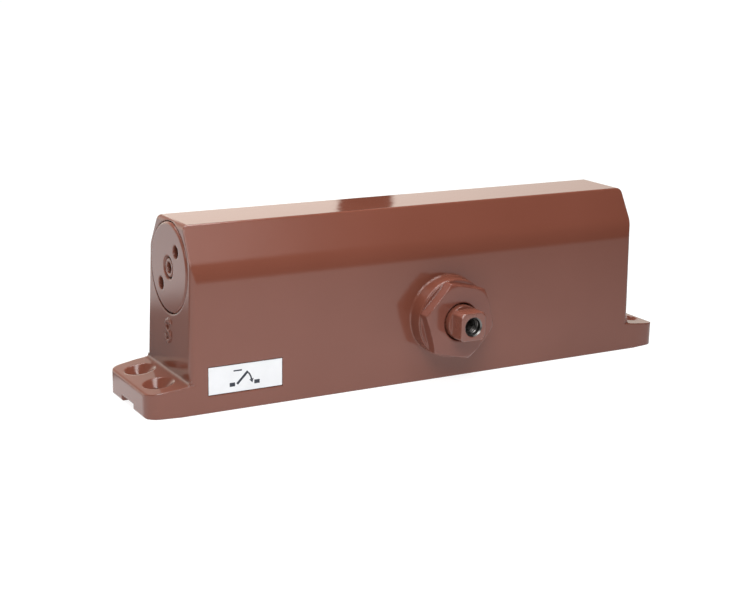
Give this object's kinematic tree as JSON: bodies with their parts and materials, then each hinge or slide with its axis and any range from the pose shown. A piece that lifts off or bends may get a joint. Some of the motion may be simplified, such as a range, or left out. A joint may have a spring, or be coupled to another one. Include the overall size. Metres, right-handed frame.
{
  "type": "door closer",
  "caption": "Surface-mounted rack-and-pinion door closer body with screw feet, hexagonal gland nuts, square spindle ends and a spring power adjuster.",
  "frame": {"origin": "centre of the mounting face, on the surface the closer is screwed to", "axes": "+X along the body from the spring adjuster end to the valve end; Y along the pinion axis, the label side facing -Y; +Z away from the door"},
  "size_m": [0.2356, 0.0834, 0.069],
  "materials": {
    "housing_paint": "semi-gloss brown paint over die-cast aluminium",
    "gland_paint": "semi-gloss brown paint on steel",
    "cap_paint": "semi-gloss brown paint on steel",
    "machined_steel": "ground and turned steel, oiled",
    "spindle_steel": "turned steel, brown oxide on the ends",
    "spring_steel": "blued spring steel",
    "valve_brass": "turned brass",
    "nitrile": "black nitrile rubber",
    "label_film": "printed white label"
  },
  "bodies": {
    "closer_body": {"housing": "housing_paint", "label": "label_film", "end_cap_spring": "cap_paint", "end_cap_blind": "cap_paint", "o_ring_cap_spring": "nitrile", "o_ring_cap_blind": "nitrile", "main_spring": "spring_steel", "gland_nut_front": "gland_paint", "gland_nut_back": "gland_paint", "bearing_cup_front": "machined_steel", "bearing_cup_back": "machined_steel", "shaft_seal_front": "nitrile", "shaft_seal_back": "nitrile", "o_ring_gland_front": "nitrile", "o_ring_gland_back": "nitrile"},
    "pinion_body": {"pinion": "spindle_steel"},
    "bearing_cage_front_body": {"bearing_cage_front": "machined_steel"},
    "bearing_cage_back_body": {"bearing_cage_back": "machined_steel"},
    "piston_body": {"piston": "machined_steel", "check_retainer": "machined_steel"},
    "check_ball_body": {"check_ball": "machined_steel"},
    "power_screw_body": {"power_screw": "machined_steel", "o_ring_power_screw": "nitrile"},
    "spring_seat_body": {"spring_seat": "machined_steel"},
    "closing_seal_body": {"o_ring_valve_closing": "nitrile"},
    "closing_valve_body": {"valve_closing": "valve_brass"},
    "latching_seal_body": {"o_ring_valve_latching": "nitrile"},
    "latching_valve_body": {"valve_latching": "valve_brass"}
  },
  "joints": [
    {"name": "pinion_spin", "type": "hinge", "parent": "closer_body", "child": "pinion_body", "pos_m": [0.0076, 0, 0.0259], "axis": [0, -1, 0], "range_deg": [0, 170], "stiffness_Nm_per_rad": 9.2},
    {"name": "piston_slide", "type": "slide", "parent": "closer_body", "child": "piston_body", "axis": [-1, 0, 0], "range_m": [0, 0.0374], "deforming": ["main_spring"]},
    {"name": "check_ball_lift", "type": "slide", "parent": "piston_body", "child": "check_ball_body", "axis": [1, 0, 0], "range_m": [0, 0.0008]},
    {"name": "bearing_cage_front_roll", "type": "hinge", "parent": "closer_body", "child": "bearing_cage_front_body", "pos_m": [0.0076, -0.02, 0.0259], "axis": [0, -1, 0], "range_deg": [0, 72]},
    {"name": "bearing_cage_back_roll", "type": "hinge", "parent": "closer_body", "child": "bearing_cage_back_body", "pos_m": [0.0076, 0.02, 0.0259], "axis": [0, -1, 0], "range_deg": [0, 72]},
    {"name": "power_screw_turn", "type": "hinge", "parent": "closer_body", "child": "power_screw_body", "pos_m": [-0.095, 0, 0.051], "axis": [1, 0, 0], "range_deg": [0, 1728.5]},
    {"name": "spring_seat_slide", "type": "slide", "parent": "closer_body", "child": "spring_seat_body", "axis": [1, 0, 0], "range_m": [0, 0.006]},
    {"name": "closing_valve_travel", "type": "slide", "parent": "closer_body", "child": "closing_seal_body", "axis": [1, 0, 0], "range_m": [0, 0.0015]},
    {"name": "closing_valve_turn", "type": "hinge", "parent": "closing_seal_body", "child": "closing_valve_body", "pos_m": [0.09, -0.0095, 0.022], "axis": [1, 0, 0], "range_deg": [0, 720.5]},
    {"name": "latching_valve_travel", "type": "slide", "parent": "closer_body", "child": "latching_seal_body", "axis": [1, 0, 0], "range_m": [0, 0.0015]},
    {"name": "latching_valve_turn", "type": "hinge", "parent": "latching_seal_body", "child": "latching_valve_body", "pos_m": [0.09, 0.0095, 0.022], "axis": [1, 0, 0], "range_deg": [0, 720.5]}
  ],
  "couplings": [
    {"joint": "piston_slide", "follows": "pinion_spin", "m_per_rad": 0.0126},
    {"joint": "bearing_cage_front_roll", "follows": "pinion_spin", "ratio": 0.4217},
    {"joint": "bearing_cage_back_roll", "follows": "pinion_spin", "ratio": 0.4217},
    {"joint": "power_screw_turn", "follows": "spring_seat_slide", "rad_per_m": 5026.5},
    {"joint": "closing_valve_turn", "follows": "closing_valve_travel", "rad_per_m": 8377.6},
    {"joint": "latching_valve_turn", "follows": "latching_valve_travel", "rad_per_m": 8377.6}
  ]
}
